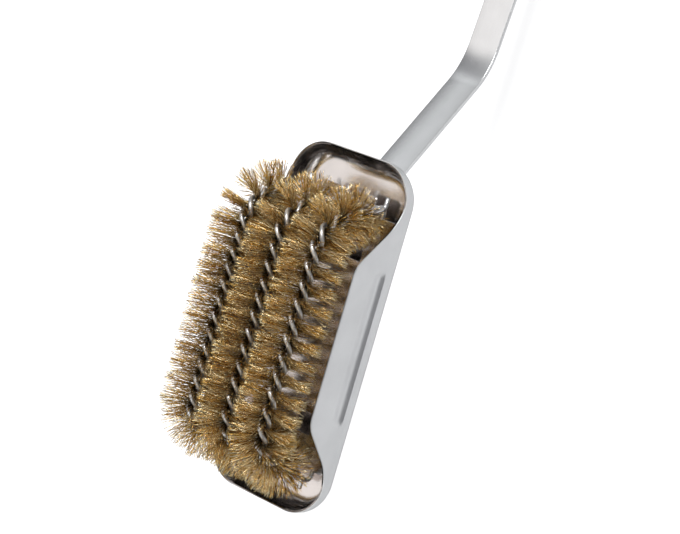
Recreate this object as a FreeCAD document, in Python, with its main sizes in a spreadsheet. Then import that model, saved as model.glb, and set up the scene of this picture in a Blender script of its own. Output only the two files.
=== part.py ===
import FreeCAD, Part
import math
import os

import Sketcher
from FreeCAD import Placement, Rotation, Vector

# Grill cleaning brush: a drawn steel tray holds a lift-out insert with three rows of
# twisted-in-wire brass brushes, and a cranked flat bar behind the tray carries a round grip.
# Frame: X along the tray towards the grip, Z the way the bristles point. The origin is the
# centre of the bar's outer face under the middle of the tray. Millimetres and degrees.

SIZES = [
    ("tray_length", 152.4),
    ("tray_width", 65.3),
    ("tray_height", 31.0),
    ("tray_sheet", 1.0),
    ("tray_plan_radius", 17.0),
    ("tray_floor_radius", 8.2),
    ("end_rim_height", 10.5),
    ("shoulder_half", 29.5),
    ("shoulder_slope", 44.0),
    ("shoulder_radius", 11.0),
    ("sweep_radius", 24.0),
    ("bead_half_length", 33.0),
    ("bead_height", 13.5),
    ("bead_half_width", 2.0),
    ("bead_depth", 1.3),
    ("strap_width", 16.0),
    ("strap_sheet", 2.5),
    ("strap_tail", 44.0),
    ("strap_seat", 49.5),
    ("strap_slope", 36.8),
    ("strap_fall", 52.0),
    ("strap_seat_radius", 14.0),
    ("strap_crank_radius", 37.0),
    ("strap_run_slope", 4.7),
    ("strap_run", 88.0),
    ("rivet_radius", 2.5),
    ("rivet_head_radius", 4.2),
    ("rivet_head_height", 1.7),
    ("rivet_half_pitch", 30.0),
    ("rivet_clearance", 0.03),
    ("plate_sheet", 1.0),
    ("plate_level", 8.0),
    ("plate_side_clearance", 0.45),
    ("plate_reach", 16.5),
    ("plate_far_shift", 2.5),
    ("tab_length", 7.5),
    ("tab_width", 13.4),
    ("notch_width", 5.6),
    ("tab_corner", 1.5),
    ("foot_length", 9.0),
    ("foot_station", 38.0),
    ("foot_offset", 17.0),
    ("row_spacing", 21.5),
    ("row_height", 42.5),
    ("near_row_rise", 2.8),
    ("middle_row_rise", 1.5),
    ("far_row_rise", 0.0),
    ("row_half", 37.0),
    ("stem_bend_radius", 13.0),
    ("stem_lean", 72.0),
    ("wire_radius", 1.0),
    ("wire_spread", 1.8),
    ("bare_wire_spread", 1.03),
    ("twist_end", 12.0),
    ("tail_bend", 2.2),
    ("tail_length", 3.0),
    ("hook_length", 6.0),
    ("hook_clearance", 0.1),
    ("bristle_clearance", 0.03),
    ("bristle_radius", 15.0),
    ("bristle_start", 22.0),
    ("bristle_fan", 40.0),
    ("bristle_inner_limit", 10.5),
    ("row_gap", 0.3),
    ("wall_gap", 0.8),
    ("grip_length", 165.0),
    ("grip_radius", 10.0),
    ("grip_sheet", 1.0),
    ("collar_length", 14.0),
    ("spigot_length", 16.0),
    ("fit_clearance", 0.03),
    ("cap_length", 9.0),
    ("eye_bore_radius", 7.0),
    ("eye_rim", 4.0),
    ("eye_thickness", 4.0),
    ("eye_shank_radius", 3.0),
    ("eye_shank_length", 10.0),
]

STEPS_PER_TURN = 5
ROUND_FLATS = 3
WIRE_SIDES = 5
BEND_STEPS = 4
PAST = 1.0      # how far a cut runs past what it cuts
TOUCH = 0.01    # two places nearer than this are the same
ROWS = {"near": -1, "middle": 0, "far": 1}
HALF_TURNS = {"near": 21, "middle": 22, "far": 22}

doc = FreeCAD.newDocument("grill_brush")
sheet = doc.addObject("Spreadsheet::Sheet", "Sizes")
for line, (name, value) in enumerate(SIZES, start=1):
    sheet.set(f"A{line}", name)
    sheet.set(f"B{line}", str(value))
    sheet.setAlias(f"B{line}", name)
doc.recompute()


def size(name):
    return float(sheet.get(name))


# ---------------------------------------------------------------- levels that pieces share
FLOOR_BACK = size("strap_sheet")
FLOOR = FLOOR_BACK + size("tray_sheet")
PLATE_UNDER = FLOOR + size("plate_level")
PLATE_TOP = PLATE_UNDER + size("plate_sheet")
WALL_OUTER = size("tray_width") / 2
WALL_INNER = WALL_OUTER - size("tray_sheet")
PLATE_HALF_WIDTH = WALL_INNER - size("bead_depth") - size("plate_side_clearance")
TAIL_LEVEL = FLOOR_BACK + size("twist_end")


# ---------------------------------------------------------------- helpers
def new_body(label):
    body = doc.addObject("PartDesign::Body", label)
    body.Label = label
    return body


def plane(body, role):
    return next(f for f in body.Origin.OriginFeatures if f.Role == role)


def new_sketch(body, role, name, offset=0.0):
    sketch = body.newObject("Sketcher::SketchObject", name)
    sketch.AttachmentSupport = (plane(body, role), [""])
    sketch.MapMode = "FlatFace"
    sketch.AttachmentOffset = Placement(Vector(0, 0, offset), Rotation())
    return sketch


def bind(sketch, constraint, expression):
    index = sketch.addConstraint(constraint)
    sketch.setExpression(f"Constraints[{index}]", expression)


def add_circle(sketch, x, y, radius, expression):
    index = sketch.addGeometry(Part.Circle(Vector(x, y, 0), Vector(0, 0, 1), radius), False)
    sketch.addConstraint(Sketcher.Constraint("DistanceX", -1, 1, index, 3, x))
    sketch.addConstraint(Sketcher.Constraint("DistanceY", -1, 1, index, 3, y))
    bind(sketch, Sketcher.Constraint("Radius", index, radius), expression)


def add_outline(sketch, points):
    """A closed outline of straight edges through the points."""
    for start, end in zip(points, points[1:] + points[:1]):
        sketch.addGeometry(Part.LineSegment(Vector(*start, 0), Vector(*end, 0)), False)


def add_rounded_rectangle(sketch, length, width, radius, now):
    """A rectangle about the origin, its sizes given as expressions and as they are now."""
    a, b, r = now[0] / 2, now[1] / 2, now[2]
    corners = [(a - r, b - r, 0), (r - a, b - r, 90), (r - a, r - b, 180), (a - r, r - b, 270)]
    arcs = []
    for x, y, start in corners:
        circle = Part.Circle(Vector(x, y, 0), Vector(0, 0, 1), r)
        arc = Part.ArcOfCircle(circle, math.radians(start), math.radians(start + 90))
        arcs.append(sketch.addGeometry(arc, False))
    ends = [((a - r, b), (r - a, b)), ((-a, b - r), (-a, r - b)),
            ((r - a, -b), (a - r, -b)), ((a, r - b), (a, b - r))]
    lines = [sketch.addGeometry(Part.LineSegment(Vector(*p, 0), Vector(*q, 0)), False) for p, q in ends]
    for i in range(4):
        sketch.addConstraint(Sketcher.Constraint("Tangent", arcs[i], 2, lines[i], 1))
        sketch.addConstraint(Sketcher.Constraint("Tangent", lines[i], 2, arcs[(i + 1) % 4], 1))
        sketch.addConstraint(Sketcher.Constraint("Vertical" if i % 2 else "Horizontal", lines[i]))
    for i in range(1, 4):
        sketch.addConstraint(Sketcher.Constraint("Equal", arcs[0], arcs[i]))
    sketch.addConstraint(Sketcher.Constraint("Symmetric", arcs[0], 3, arcs[2], 3, -1, 1))
    bind(sketch, Sketcher.Constraint("DistanceX", lines[1], 1, lines[3], 1, 2 * a), length)
    bind(sketch, Sketcher.Constraint("DistanceY", lines[2], 1, lines[0], 1, 2 * b), width)
    bind(sketch, Sketcher.Constraint("Radius", arcs[0], r), radius)


def pad(body, sketch, name, expression, midplane=False, reverse=False):
    feature = body.newObject("PartDesign::Pad", name)
    feature.Profile = sketch
    feature.setExpression("Length", expression)
    feature.Midplane = midplane
    feature.Reversed = reverse
    doc.recompute()
    return feature


def pocket(body, sketch, name, expression, midplane=False, reverse=False):
    before = body.Shape.Volume
    feature = body.newObject("PartDesign::Pocket", name)
    feature.Profile = sketch
    feature.setExpression("Length", expression)
    feature.Midplane = midplane
    feature.Reversed = reverse
    doc.recompute()
    if body.Shape.Volume >= before:
        raise RuntimeError(f"{name} removed nothing")
    return feature


def revolution(body, sketch, name, axis="H_Axis"):
    feature = body.newObject("PartDesign::Revolution", name)
    feature.Profile = sketch
    feature.ReferenceAxis = (sketch, [axis])
    feature.Angle = 360
    doc.recompute()
    return feature


def edges_where(shape, test):
    return [f"Edge{i}" for i, edge in enumerate(shape.Edges, start=1) if test(edge)]


def dress(body, kind, base, names, expression, quantity):
    """A fillet, chamfer or thickness on the named edges or faces of a feature."""
    feature = body.newObject(f"PartDesign::{kind}", f"{base.Name}_{kind.lower()}")
    feature.Base = (base, names)
    feature.setExpression(quantity, expression)
    doc.recompute()
    return feature


def level(edge, height):
    box = edge.BoundBox
    return abs(box.ZMin - height) < TOUCH and abs(box.ZMax - height) < TOUCH


# ---------------------------------------------------------------- tray
def rim_curve():
    """The side wall's rim from its straight top to the low end rim, for x > 0."""
    slope = math.radians(size("shoulder_slope"))
    top = FLOOR_BACK + size("tray_height")
    low = FLOOR_BACK + size("end_rim_height")
    upper, lower = size("shoulder_radius"), size("sweep_radius")
    arcs_drop = (upper + lower) * (1 - math.cos(slope))
    straight_drop = top - low - arcs_drop
    start = Vector(size("shoulder_half"), top, 0)
    crest = start + Vector(upper * math.sin(slope), -upper * (1 - math.cos(slope)), 0)
    foot = crest + Vector(straight_drop / math.tan(slope), -straight_drop, 0)
    end = foot + Vector(lower * math.sin(slope), -lower * (1 - math.cos(slope)), 0)
    upper_middle = start + Vector(upper * math.sin(slope / 2), -upper * (1 - math.cos(slope / 2)), 0)
    lower_middle = end - Vector(lower * math.sin(slope / 2), -lower * (1 - math.cos(slope / 2)), 0)
    return start, upper_middle, crest, foot, lower_middle, end


def cut_rims(body):
    """Trim the drawn box to the swept rim at both ends."""
    start, upper_middle, crest, foot, lower_middle, end = rim_curve()
    outside = size("tray_length") / 2 + PAST
    above = start.y + PAST
    for side, name in ((1, "rim_near_grip"), (-1, "rim_far")):
        def place(point):
            return Vector(side * point.x, point.y, 0)
        sketch = new_sketch(body, "XZ_Plane", name)
        geometry = [
            Part.Arc(place(start), place(upper_middle), place(crest)),
            Part.LineSegment(place(crest), place(foot)),
            Part.Arc(place(foot), place(lower_middle), place(end)),
            Part.LineSegment(place(end), place(Vector(outside, end.y))),
            Part.LineSegment(place(Vector(outside, end.y)), place(Vector(outside, above))),
            Part.LineSegment(place(Vector(outside, above)), place(Vector(start.x, above))),
            Part.LineSegment(place(Vector(start.x, above)), place(start)),
        ]
        sketch.addGeometry(geometry, False)
        pocket(body, sketch, f"{name}_cut", f"Sizes.tray_width + {2 * PAST}", midplane=True)


def bead_profile(sketch, radius, y):
    """Half of a round-ended bar, to be turned about its own long axis."""
    half = size("bead_half_length") - size("bead_half_width")
    left, right = Vector(-half - radius, y, 0), Vector(half + radius, y, 0)
    bend = radius * math.sqrt(0.5)
    sketch.addGeometry([
        Part.LineSegment(left, right),
        Part.Arc(right, Vector(half + bend, y + bend, 0), Vector(half, y + radius, 0)),
        Part.LineSegment(Vector(half, y + radius, 0), Vector(-half, y + radius, 0)),
        Part.Arc(Vector(-half, y + radius, 0), Vector(-half - bend, y + bend, 0), left),
    ], False)


def press_beads(body):
    """An inward ridge pressed into each side wall, hollow on the outside."""
    depth, half_width = size("bead_depth"), size("bead_half_width")
    outer_radius = (half_width ** 2 + depth ** 2) / (2 * depth)
    inner_radius = outer_radius + size("tray_sheet")
    height = FLOOR_BACK + size("bead_height")
    for side, name in ((1, "far"), (-1, "near")):
        centre_y = side * (WALL_OUTER + outer_radius - depth)
        ridge = new_sketch(body, "XY_Plane", f"bead_{name}_ridge", height)
        bead_profile(ridge, inner_radius, centre_y)
        turn_about_own_axis(body, ridge, f"bead_{name}_raise", "Revolution")
        trim = new_sketch(body, "XY_Plane", f"bead_{name}_trim", height - inner_radius - PAST)
        reach = size("bead_half_length") + inner_radius + PAST
        low, high = sorted((side * WALL_OUTER, side * (WALL_OUTER + 2 * inner_radius)))
        add_outline(trim, [(-reach, low), (reach, low), (reach, high), (-reach, high)])
        pocket(body, trim, f"bead_{name}_face", f"{2 * (inner_radius + PAST)}", reverse=True)
        hollow = new_sketch(body, "XY_Plane", f"bead_{name}_hollow", height)
        bead_profile(hollow, outer_radius, centre_y)
        turn_about_own_axis(body, hollow, f"bead_{name}_press", "Groove")


def turn_about_own_axis(body, sketch, name, kind):
    feature = body.newObject(f"PartDesign::{kind}", name)
    feature.Profile = sketch
    feature.ReferenceAxis = (sketch, ["Edge1"])
    feature.Angle = 360
    doc.recompute()
    return feature


def floor_round(inset, radius):
    """Setback and height of the floor's round, set out in flats from the floor to the wall."""
    angles = [math.radians(90 * i / ROUND_FLATS) for i in range(ROUND_FLATS + 1)]
    return [(inset + radius * (1 - math.sin(a)), inset + radius * (1 - math.cos(a))) for a in angles]


def draw_box(body, name, kind, inset, radius, top):
    """A box with rounded plan corners and a rounded floor edge, set in from the tray's outside."""
    sections = []
    for i, (setback, height) in enumerate(floor_round(inset, radius)):
        sections.append(tray_section(body, f"{name}_level_{i}", setback, FLOOR_BACK + height))
    sections.append(tray_section(body, f"{name}_top", inset, top))
    loft = body.newObject(f"PartDesign::{kind}", name)
    loft.Profile = sections[0]
    loft.Sections = sections[1:]
    loft.Ruled = True
    doc.recompute()
    return loft


def tray_section(body, name, setback, height):
    sketch = new_sketch(body, "XY_Plane", name, height)
    shrink = 2 * setback
    add_rounded_rectangle(sketch, f"Sizes.tray_length - {shrink}", f"Sizes.tray_width - {shrink}",
                          f"Sizes.tray_plan_radius - {setback}",
                          (size("tray_length") - shrink, size("tray_width") - shrink,
                           size("tray_plan_radius") - setback))
    return sketch


def make_tray():
    body = new_body("tray")
    top = FLOOR_BACK + size("tray_height")
    inset = size("tray_sheet")
    draw_box(body, "tray_block", "AdditiveLoft", 0.0, size("tray_floor_radius"), top)
    draw_box(body, "tray_hollow", "SubtractiveLoft", inset, size("tray_floor_radius") - inset, top)
    cut_rims(body)
    press_beads(body)
    holes = new_sketch(body, "XY_Plane", "tray_rivet_holes", FLOOR_BACK - PAST)
    for x in (-size("rivet_half_pitch"), size("rivet_half_pitch")):
        add_circle(holes, x, 0, size("rivet_radius"), "Sizes.rivet_radius")
    pocket(body, holes, "tray_rivet_cut", f"Sizes.tray_sheet + {2 * PAST}", reverse=True)
    return body


# ---------------------------------------------------------------- strap
def strap_centre_line():
    """The middle of the bar's thickness as straight runs joined by tangent arcs (X, Z)."""
    half = size("strap_sheet") / 2
    slope, run_slope = math.radians(size("strap_slope")), math.radians(size("strap_run_slope"))
    seat, crank = size("strap_seat_radius"), size("strap_crank_radius")
    tail = Vector(-size("strap_tail"), half, 0)
    bend_start = Vector(size("strap_seat"), half, 0)
    bend_end = bend_start + Vector(seat * math.sin(slope), -seat * (1 - math.cos(slope)), 0)
    bend_middle = bend_start + Vector(seat * math.sin(slope / 2), -seat * (1 - math.cos(slope / 2)), 0)
    crank_drop = crank * (math.cos(run_slope) - math.cos(slope))
    straight_drop = size("strap_fall") - crank_drop - (bend_start.y - bend_end.y)
    crank_start = bend_end + Vector(straight_drop / math.tan(slope), -straight_drop, 0)
    centre = crank_start + Vector(crank * math.sin(slope), crank * math.cos(slope), 0)
    middle_slope = (slope + run_slope) / 2
    crank_middle = centre - Vector(crank * math.sin(middle_slope), crank * math.cos(middle_slope), 0)
    crank_end = centre - Vector(crank * math.sin(run_slope), crank * math.cos(run_slope), 0)
    run = size("strap_run")
    end = crank_end + Vector(run * math.cos(run_slope), -run * math.sin(run_slope), 0)
    return [Part.LineSegment(tail, bend_start),
            Part.Arc(bend_start, bend_middle, bend_end),
            Part.LineSegment(bend_end, crank_start),
            Part.Arc(crank_start, crank_middle, crank_end),
            Part.LineSegment(crank_end, end)]


def offset_side(pieces, distance):
    """The centre line moved sideways; lines and arcs stay tangent."""
    moved = []
    for piece in pieces:
        ends = []
        for parameter in (piece.FirstParameter, (piece.FirstParameter + piece.LastParameter) / 2,
                          piece.LastParameter):
            tangent = piece.tangent(parameter)[0]
            if tangent.x < 0:
                tangent = tangent * -1
            ends.append(piece.value(parameter) + Vector(-tangent.y, tangent.x, 0) * distance)
        ends.sort(key=lambda point: point.x)
        straight = isinstance(piece, Part.LineSegment)
        moved.append(Part.LineSegment(ends[0], ends[2]) if straight else Part.Arc(*ends))
    return moved


def make_strap():
    body = new_body("strap")
    half = size("strap_sheet") / 2
    line = strap_centre_line()
    upper, lower = offset_side(line, half), offset_side(line, -half)
    side = new_sketch(body, "XZ_Plane", "strap_side")
    side.addGeometry(upper + lower, False)
    side.addGeometry(Part.LineSegment(upper[0].StartPoint, lower[0].StartPoint), False)
    side.addGeometry(Part.LineSegment(upper[-1].EndPoint, lower[-1].EndPoint), False)
    bar = pad(body, side, "strap_bar", "Sizes.strap_width", midplane=True)
    corners = edges_where(bar.Shape, lambda edge: edge.BoundBox.XMax < -size("strap_tail") + TOUCH
                          and edge.BoundBox.ZLength > half)
    dress(body, "Fillet", bar, corners, "Sizes.strap_width * 0.3", "Radius")
    holes = new_sketch(body, "XY_Plane", "strap_rivet_holes", -PAST)
    for x in (-size("rivet_half_pitch"), size("rivet_half_pitch")):
        add_circle(holes, x, 0, size("rivet_radius"), "Sizes.rivet_radius")
    pocket(body, holes, "strap_rivet_cut", f"Sizes.strap_sheet + {2 * PAST}", reverse=True)
    return body


def make_rivets():
    """Two rivets: a flat head on the tray floor, dressed flush with the bar's outer face."""
    body = new_body("head_rivets")
    clearance = size("rivet_clearance")
    shank = size("rivet_radius") - clearance
    head = size("rivet_head_radius")
    x = size("rivet_half_pitch")
    sketch = new_sketch(body, "XZ_Plane", "rivet_half")
    crown = FLOOR + size("rivet_head_height")
    add_outline(sketch, [(x, crown), (x, 0), (x + shank, 0), (x + shank, FLOOR),
                         (x + head, FLOOR), (x + head, crown)])
    turned = body.newObject("PartDesign::Revolution", "rivet")
    turned.Profile = sketch
    turned.ReferenceAxis = (sketch, ["Edge1"])
    turned.Angle = 360
    doc.recompute()
    row = body.newObject("PartDesign::LinearPattern", "rivet_pair")
    row.Originals = [turned]
    row.Direction = (plane(body, "X_Axis"), [""])
    row.Reversed = True
    row.Occurrences = 2
    row.setExpression("Length", "Sizes.rivet_half_pitch * 2")
    body.Tip = row
    doc.recompute()
    return body


# ---------------------------------------------------------------- insert plate
def make_plate():
    body = new_body("insert_plate")
    shoulder, tab = size("row_half") + size("plate_reach"), size("tab_length")
    shift, half = size("plate_far_shift"), PLATE_HALF_WIDTH
    notch = size("notch_width") / 2
    edge = notch + size("tab_width")
    near = [(shoulder, -half), (shoulder, -edge), (shoulder + tab, -edge), (shoulder + tab, -notch),
            (shoulder, -notch), (shoulder, notch), (shoulder + tab, notch), (shoulder + tab, edge),
            (shoulder, edge), (shoulder, half)]
    far = [(-x - shift, -y) for x, y in near]
    outline = new_sketch(body, "XY_Plane", "plate_outline", PLATE_UNDER)
    add_outline(outline, near + far)
    blank = pad(body, outline, "plate_blank", "Sizes.plate_sheet")
    tab_end = shoulder + tab + shift / 2
    tips = [(x, y) for x, y in near + far if abs(abs(x + shift / 2) - tab_end) < TOUCH or abs(y) == half]

    def is_tip(line):
        box = line.BoundBox
        upright = box.ZLength > size("plate_sheet") / 2
        return upright and any(math.hypot(box.XMin - x, box.YMin - y) < TOUCH for x, y in tips)

    dress(body, "Fillet", blank, edges_where(blank.Shape, is_tip), "Sizes.tab_corner", "Radius")
    lance_feet(body)
    return body


def lance_feet(body):
    """Four tongues cut from the plate and folded down, which stand on the tray floor."""
    length, sheet = size("foot_length"), size("plate_sheet")
    height = PLATE_UNDER - FLOOR
    windows = new_sketch(body, "XY_Plane", "foot_windows", PLATE_TOP + PAST)
    feet = new_sketch(body, "XY_Plane", "feet", FLOOR)
    for x in (-size("foot_station"), size("foot_station")):
        for side in (-1, 1):
            fold = side * size("foot_offset")
            inner = fold - side * height
            low, high = x - length / 2, x + length / 2
            add_outline(windows, [(low, inner), (high, inner), (high, fold), (low, fold)])
            outer = fold + side * sheet
            add_outline(feet, [(low, fold), (high, fold), (high, outer), (low, outer)])
    pocket(body, windows, "foot_window_cut", f"Sizes.plate_sheet + {2 * PAST}")
    pad(body, feet, "foot_pads", f"{height}")


# ---------------------------------------------------------------- twisted brushes
class Stem:
    """The line that a row's wires twist about: a straight back, two bends and two legs."""

    def __init__(self, row):
        self.lean = math.radians(size("stem_lean"))
        self.bend = size("stem_bend_radius")
        self.top = FLOOR_BACK + size("row_height") + size(f"{row}_row_rise")
        self.near = size("row_half")
        self.far = -size("row_half") - size("plate_far_shift")
        bend_drop = self.bend * (1 - math.cos(self.lean))
        self.leg = (self.top - bend_drop - TAIL_LEVEL) / math.sin(self.lean)
        self.arc = self.bend * self.lean
        self.back = self.near - self.far
        self.length = 2 * (self.leg + self.arc) + self.back
        self.bare = (FLOOR_BACK + size("bristle_start") - TAIL_LEVEL) / math.sin(self.lean)

    def at(self, run):
        """Place and heading at a distance along the stem from the foot of the far leg."""
        middle = self.length / 2
        side = 1 if run > middle else -1
        past_back = abs(run - middle) - self.back / 2
        end = self.near if side > 0 else self.far
        if past_back <= 0:
            return Vector((self.near + self.far) / 2 + run - middle, 0, self.top), 0.0
        turned = min(past_back / self.bend, self.lean)
        place = Vector(self.bend * math.sin(turned), 0, -self.bend * (1 - math.cos(turned)))
        straight = max(past_back - self.arc, 0)
        place += Vector(math.cos(turned), 0, -math.sin(turned)) * straight
        return Vector(end + side * place.x, 0, self.top + place.z), -side * turned

    def spread(self, run):
        """How far each wire stands off the stem: the bristles between them hold them apart."""
        bare, brushed = size("bare_wire_spread"), size("wire_spread")
        inside = min(run, self.length - run) - self.bare
        return brushed if inside > -TOUCH else bare


def cross_section(place, heading, points, turn):
    """Points (across, out) set square to the heading and turned about it."""
    up = Vector(-math.sin(heading), 0, math.cos(heading))
    across = Vector(0, 1, 0)
    out = up * math.cos(turn) + across * math.sin(turn)
    side = across * math.cos(turn) - up * math.sin(turn)
    return [place + side * u + out * v for u, v in points]


def skin(sections, crossed=()):
    """A solid of flat facets through a row of like outlines; crossed sides split the other way."""
    count = len(sections[0])
    corners = [tuple(point) for section in sections for point in section]
    facets = []
    for ring in range(len(sections) - 1):
        for i in range(count):
            j = (i + 1) % count
            a, b = ring * count + i, ring * count + j
            c, d = a + count, b + count
            facets += [(a, b, d), (a, d, c)] if i in crossed else [(a, b, c), (b, d, c)]
    last = (len(sections) - 1) * count
    for i in range(1, count - 1):
        facets += [(0, i + 1, i), (last, last + i, last + i + 1)]
    surface = Part.Shape()
    surface.makeShapeFromMesh((corners, facets), 0.0001)
    solid = Part.Solid(Part.Shell(surface.Faces))
    if solid.Volume < 0:
        solid.reverse()
    return solid


def stations(start, end, step):
    count = max(1, math.ceil((end - start) / step))
    return [start + (end - start) * i / count for i in range(count + 1)]


def wire_outline(spread):
    """A flat-sided wire with one corner to the twist's axis."""
    radius = size("wire_radius")
    corners = [2 * math.pi * k / WIRE_SIDES - math.pi / 2 for k in range(WIRE_SIDES)]
    return [(radius * math.cos(corner), spread + radius * math.sin(corner)) for corner in corners]


def wire_ends(stem, kind):
    """Place and heading along a wire past the twist, at the grip end, and mirrored at the far end."""
    place, heading = stem.at(stem.length)
    bend = size("tail_bend")
    if kind == "tail":
        turn, straight, lead = -heading, size("tail_length"), 0.0
    else:
        turn, straight = -(math.pi + heading), size("hook_length")
        level_now = place.z - bend * (1 + math.cos(heading))
        wanted = PLATE_UNDER - size("hook_clearance") - size("wire_radius")
        lead = (level_now - wanted) / math.sin(-heading)
    direction = Vector(math.cos(heading), 0, math.sin(heading))
    place = place + direction * lead
    result = [(place, heading)] if lead > TOUCH else []
    sign = 1 if turn > 0 else -1
    centre = place + Vector(-math.sin(heading), 0, math.cos(heading)) * bend * sign
    for i in range(1, BEND_STEPS + 1):
        angle = heading + turn * i / BEND_STEPS
        result.append((centre - Vector(-math.sin(angle), 0, math.cos(angle)) * bend * sign, angle))
    final = heading + turn
    result.append((result[-1][0] + Vector(math.cos(final), 0, math.sin(final)) * straight, final))
    return result


def mirrored(stem, ends):
    """The same wire end at the stem's far foot, walked from its tip to the twist."""
    middle = (stem.near + stem.far) / 2
    return [(Vector(2 * middle - place.x, 0, place.z), -heading) for place, heading in reversed(ends)]


def make_row(row):
    """Two wires twisted together and the bristles that they grip between them."""
    stem = Stem(row)
    offset = Vector(0, ROWS[row] * size("row_spacing"), 0)
    pitch = 2 * stem.length / HALF_TURNS[row]
    step = pitch / STEPS_PER_TURN

    def turn_at(run):
        return math.pi / 2 + 2 * math.pi * (run - stem.length) / pitch

    feet = wire_outline(stem.spread(0))
    brushed = stations(stem.bare, stem.length - stem.bare, step)
    twisted = stations(0, stem.bare, step)[:-1] + brushed
    twisted += stations(stem.length - stem.bare, stem.length, step)[1:]
    for wire, opposite, kind in (("tail", math.pi, "tail"), ("hook", 0.0, "hook")):
        ends = wire_ends(stem, kind)
        sections = [cross_section(p, a, feet, turn_at(0) + opposite) for p, a in mirrored(stem, ends)]
        sections += [cross_section(*stem.at(run), wire_outline(stem.spread(run)), turn_at(run) + opposite)
                     for run in twisted]
        sections += [cross_section(p, a, feet, turn_at(stem.length) + opposite) for p, a in ends]
        add_solid(f"row_{row}_{wire}_wire", skin(sections), offset)
    flights = skin([flight_section(stem, run, turn_at(run), row) for run in brushed], (0, 2, 3, 5))
    add_solid(f"row_{row}_bristles", flights, offset)


def flight_section(stem, run, turn, row):
    """Two opposite fans of bristles joined between the wires: waist, tip, tip, waist, tip, tip."""
    fan = math.radians(size("bristle_fan"))
    half_side = math.pi / WIRE_SIDES
    side = size("wire_spread") - size("wire_radius") * math.sin(half_side / 2)
    waist = (side - size("wire_radius") * math.cos(half_side / 2) * math.tan(fan)
             - size("bristle_clearance") / math.cos(fan))
    place, heading = stem.at(run)
    across = Vector(0, 1, 0)
    up = Vector(-math.sin(heading), 0, math.cos(heading))
    outline = [(0, waist)]
    for sign in (1, -1):
        for angle in (fan, -fan):
            direction = (sign * math.cos(angle), sign * math.sin(angle))
            pointing = cross_section(Vector(), heading, [direction], turn)[0]
            reach = bristle_reach(place, pointing.dot(up), pointing.dot(across), heading, row)
            outline.append((direction[0] * reach, direction[1] * reach))
        if sign > 0:
            outline.append((0, -waist))
    return cross_section(place, heading, outline, turn)


def bristle_reach(place, upward, sideways, heading, row):
    """Length of the bristles that point one way: shorter towards a neighbour, a wall or a bend's inside."""
    radius = size("bristle_radius")
    lane = (size("row_spacing") - size("row_gap")) / 2
    wall = WALL_INNER - size("row_spacing") - size("wall_gap")
    inner = size("bristle_inner_limit") if heading else radius
    to_wall = (sideways < 0 and row == "near") or (sideways > 0 and row == "far")
    open_side = to_wall and place.z + upward * radius > FLOOR_BACK + size("tray_height")
    width = radius if open_side else (wall if to_wall else lane)
    height = radius if upward > 0 else inner
    return 1 / math.hypot(sideways / width, upward / height)


def add_solid(label, solid, offset):
    item = doc.addObject("Part::Feature", label)
    item.Label = label
    item.Shape = solid
    item.Placement = Placement(offset, Rotation())
    pieces.append(item)


# ---------------------------------------------------------------- grip
def grip_placement():
    """The grip's own X axis lies along the bar's last run, from the bar's end backwards."""
    last = strap_centre_line()[-1]
    back = size("spigot_length") + size("collar_length")
    direction = (last.EndPoint - last.StartPoint).normalize()
    start = last.EndPoint - direction * back
    turn = Rotation(Vector(0, 1, 0), size("strap_run_slope"))
    return Placement(Vector(start.x, 0, start.y), turn)


def make_collar():
    """The turned plug that holds the bar in the mouth of the tube."""
    body = new_body("grip_collar")
    radius, length = size("grip_radius"), size("collar_length")
    spigot = radius - size("grip_sheet") - size("fit_clearance")
    end = length + size("spigot_length")
    sketch = new_sketch(body, "XZ_Plane", "collar_half")
    add_outline(sketch, [(0, 0), (0, radius), (length, radius),
                         (length, spigot), (end, spigot), (end, 0)])
    turned = revolution(body, sketch, "collar_turned")
    slot = new_sketch(body, "YZ_Plane", "collar_slot", -PAST)
    clearance = size("fit_clearance")
    a, b = size("strap_width") / 2 + clearance, size("strap_sheet") / 2 + clearance
    add_outline(slot, [(-a, -b), (a, -b), (a, b), (-a, b)])
    pocket(body, slot, "collar_slot_cut", f"{end + 2 * PAST}", reverse=True)
    body.Placement = grip_placement()
    return body


def make_tube():
    body = new_body("grip_tube")
    sketch = new_sketch(body, "YZ_Plane", "tube_ring", size("collar_length"))
    add_circle(sketch, 0, 0, size("grip_radius"), "Sizes.grip_radius")
    add_circle(sketch, 0, 0, size("grip_radius") - size("grip_sheet"), "Sizes.grip_radius - Sizes.grip_sheet")
    pad(body, sketch, "tube_wall", "Sizes.grip_length")
    body.Placement = grip_placement()
    return body


def make_cap():
    """The plug that closes the tube and takes the eye's shank."""
    body = new_body("grip_cap")
    radius, length = size("grip_radius"), size("cap_length")
    mouth = size("collar_length") + size("grip_length")
    spigot = radius - size("grip_sheet") - size("fit_clearance")
    start, end = mouth - size("spigot_length"), mouth + length
    sketch = new_sketch(body, "XZ_Plane", "cap_half")
    add_outline(sketch, [(start, 0), (start, spigot), (mouth, spigot), (mouth, radius),
                         (end, radius), (end, 0)])
    revolution(body, sketch, "cap_turned")
    hole = new_sketch(body, "YZ_Plane", "cap_shank_hole", end + PAST)
    add_circle(hole, 0, 0, size("eye_shank_radius"), "Sizes.eye_shank_radius")
    pocket(body, hole, "cap_shank_cut", f"Sizes.eye_shank_length + {PAST}")
    body.Placement = grip_placement()
    return body


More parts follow.
